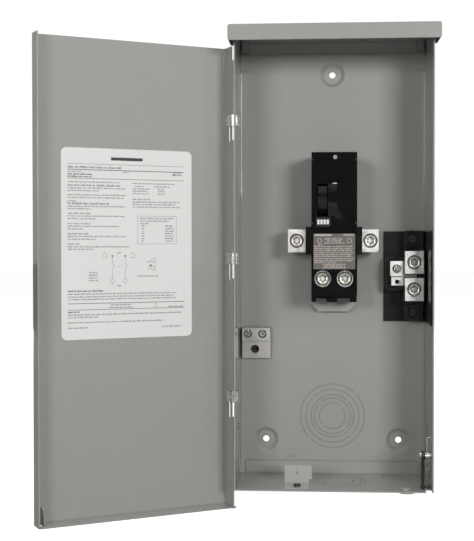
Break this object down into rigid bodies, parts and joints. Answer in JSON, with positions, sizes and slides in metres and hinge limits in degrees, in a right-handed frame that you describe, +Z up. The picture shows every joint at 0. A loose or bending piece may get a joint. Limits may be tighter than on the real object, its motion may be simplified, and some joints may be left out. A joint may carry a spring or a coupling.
{
  "type": "outdoor main circuit breaker enclosure",
  "caption": "Surface-mounted rain-tight grey steel box with a lift-up hinged door, holding a two-pole main breaker, line and load lugs, a neutral assembly and a ground lug.",
  "frame": {"origin": "midway between the two lower mounting holes, on the surface of the building wall", "axes": "+Z up, +Y into the wall (the box faces -Y), +X to the right seen from the front"},
  "size_m": [0.437, 0.1935, 0.5461],
  "materials": {
    "painted_steel": "semi-gloss grey powder coat with faint orange peel",
    "bracket_paint": "matt light grey paint",
    "zinc_steel": "bright zinc plate",
    "dark_steel": "black oxide",
    "clamp_screw": "turned, satin",
    "tin_plated_aluminium": "extruded and tin plated, satin",
    "label_paper": "printed vinyl-coated paper",
    "insulating_sheet": "black fibre sheet",
    "black_moulding": "moulded, fine texture",
    "glossy_moulding": "polished moulding",
    "rating_print": "black plate with plain white blocks",
    "info_print": "grey-brown printed label",
    "phenolic": "brown thermoset",
    "copper": "copper alloy"
  },
  "bodies": {
    "enclosure": {"enclosure_shell": "painted_steel", "bottom_end_wall": "painted_steel", "rain_hood": "painted_steel", "hub_cover_plate": "painted_steel", "hub_cover_screws": "zinc_steel", "front_bracket": "bracket_paint", "front_bracket_screw": "dark_steel", "latch_stud": "zinc_steel", "latch_spring": "zinc_steel", "hinge_leaves": "zinc_steel", "hinge_pins": "zinc_steel", "ground_lug": "tin_plated_aluminium", "ground_mount_screw": "dark_steel", "neutral_insulator": "insulating_sheet", "neutral_base": "black_moulding", "neutral_base_screws": "dark_steel", "neutral_bar": "tin_plated_aluminium", "neutral_lug_upper": "tin_plated_aluminium", "neutral_lug_lower": "tin_plated_aluminium", "neutral_small_lug": "tin_plated_aluminium", "breaker_bracket": "bracket_paint", "breaker_screws": "zinc_steel", "breaker_base": "black_moulding", "breaker_cover": "glossy_moulding", "cover_screws": "dark_steel", "terminal_shield": "glossy_moulding", "shield_screw": "zinc_steel", "shield_clip": "zinc_steel", "rating_plate": "rating_print", "info_label": "info_print", "arc_chutes": "dark_steel", "line_straps": "tin_plated_aluminium", "line_lug_left": "tin_plated_aluminium", "line_lug_right": "tin_plated_aluminium", "load_straps": "tin_plated_aluminium", "bimetal_strips": "copper", "load_lugs": "tin_plated_aluminium"},
    "hinge_straps": {"hinge_straps": "zinc_steel"},
    "door": {"door_panel": "painted_steel", "door_label": "label_paper"},
    "handle": {"breaker_handle": "black_moulding"},
    "contacts": {"crossbar": "phenolic", "contact_arms": "copper"},
    "latch": {"latch_lever": "dark_steel"},
    "line_screw_left": {"line_screw_left": "clamp_screw"},
    "line_screw_right": {"line_screw_right": "clamp_screw"},
    "load_screw_left": {"load_screw_left": "clamp_screw"},
    "load_screw_right": {"load_screw_right": "clamp_screw"},
    "neutral_screw_upper": {"neutral_screw_upper": "clamp_screw"},
    "neutral_screw_lower": {"neutral_screw_lower": "clamp_screw"},
    "neutral_small_screw": {"neutral_small_screw": "zinc_steel"},
    "ground_screw_left": {"ground_screw_left": "zinc_steel"},
    "ground_screw_right": {"ground_screw_right": "zinc_steel"}
  },
  "joints": [
    {"name": "door_swing", "type": "hinge", "parent": "enclosure", "child": "hinge_straps", "pos_m": [-0.1133, -0.0817, 0.2175], "axis": [0, 0, 1], "range_deg": [-20, 150]},
    {"name": "door_lift", "type": "slide", "parent": "hinge_straps", "child": "door", "axis": [0, 0, 1], "range_m": [0, 0.015]},
    {"name": "handle_throw", "type": "hinge", "parent": "enclosure", "child": "handle", "pos_m": [-0.012, -0.0577, 0.2844], "axis": [1, 0, 0], "range_deg": [0, 50]},
    {"name": "contacts_open", "type": "hinge", "parent": "enclosure", "child": "contacts", "pos_m": [0.0012, -0.0287, 0.2794], "axis": [1, 0, 0], "range_deg": [-25, 0]},
    {"name": "latch_release", "type": "hinge", "parent": "enclosure", "child": "latch", "pos_m": [0.0996, -0.0927, -0.0024], "axis": [1, 0, 0], "range_deg": [0, 15]},
    {"name": "line_clamp_left", "type": "slide", "parent": "enclosure", "child": "line_screw_left", "axis": [0, -1, 0], "range_m": [-0.006, 0.006]},
    {"name": "line_clamp_right", "type": "slide", "parent": "enclosure", "child": "line_screw_right", "axis": [0, -1, 0], "range_m": [-0.006, 0.006]},
    {"name": "load_clamp_left", "type": "slide", "parent": "enclosure", "child": "load_screw_left", "axis": [0, -1, 0], "range_m": [-0.006, 0.008]},
    {"name": "load_clamp_right", "type": "slide", "parent": "enclosure", "child": "load_screw_right", "axis": [0, -1, 0], "range_m": [-0.006, 0.008]},
    {"name": "neutral_clamp_upper", "type": "slide", "parent": "enclosure", "child": "neutral_screw_upper", "axis": [0, -1, 0], "range_m": [-0.006, 0.006]},
    {"name": "neutral_clamp_lower", "type": "slide", "parent": "enclosure", "child": "neutral_screw_lower", "axis": [0, -1, 0], "range_m": [-0.006, 0.006]},
    {"name": "neutral_clamp_small", "type": "slide", "parent": "enclosure", "child": "neutral_small_screw", "axis": [0, -1, 0], "range_m": [-0.004, 0.005]},
    {"name": "ground_clamp_left", "type": "slide", "parent": "enclosure", "child": "ground_screw_left", "axis": [0, -1, 0], "range_m": [-0.003, 0.004]},
    {"name": "ground_clamp_right", "type": "slide", "parent": "enclosure", "child": "ground_screw_right", "axis": [0, -1, 0], "range_m": [-0.003, 0.004]}
  ],
  "couplings": [
    {"joint": "contacts_open", "follows": "handle_throw", "ratio": -0.5}
  ]
}
